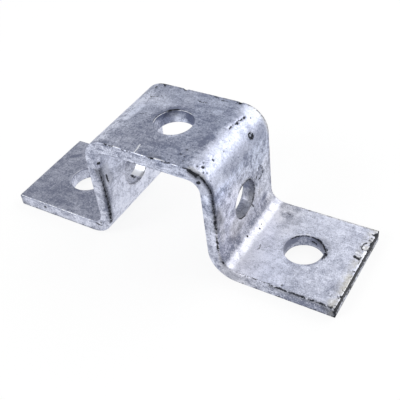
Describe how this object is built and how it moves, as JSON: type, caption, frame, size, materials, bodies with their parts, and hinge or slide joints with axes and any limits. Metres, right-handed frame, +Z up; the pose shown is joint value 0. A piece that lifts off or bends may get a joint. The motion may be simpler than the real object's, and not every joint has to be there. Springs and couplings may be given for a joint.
{
  "type": "u bracket",
  "caption": "Folded flat-bar U bracket: a raised middle that straddles square strut channel, with two flat feet that bolt down beside it and round bolt holes throughout.",
  "frame": {"origin": "centre of the footprint, on the surface that the feet stand on", "axes": "+X along the strip from one foot to the other, +Y across the strip, +Z up to the raised top"},
  "size_m": [0.1372, 0.04, 0.0468],
  "materials": {
    "galvanised_zinc": "hot-dip galvanised, dull grey with lighter and darker patches"
  },
  "bodies": {
    "root": {"bracket": "galvanised_zinc"}
  },
  "joints": []
}
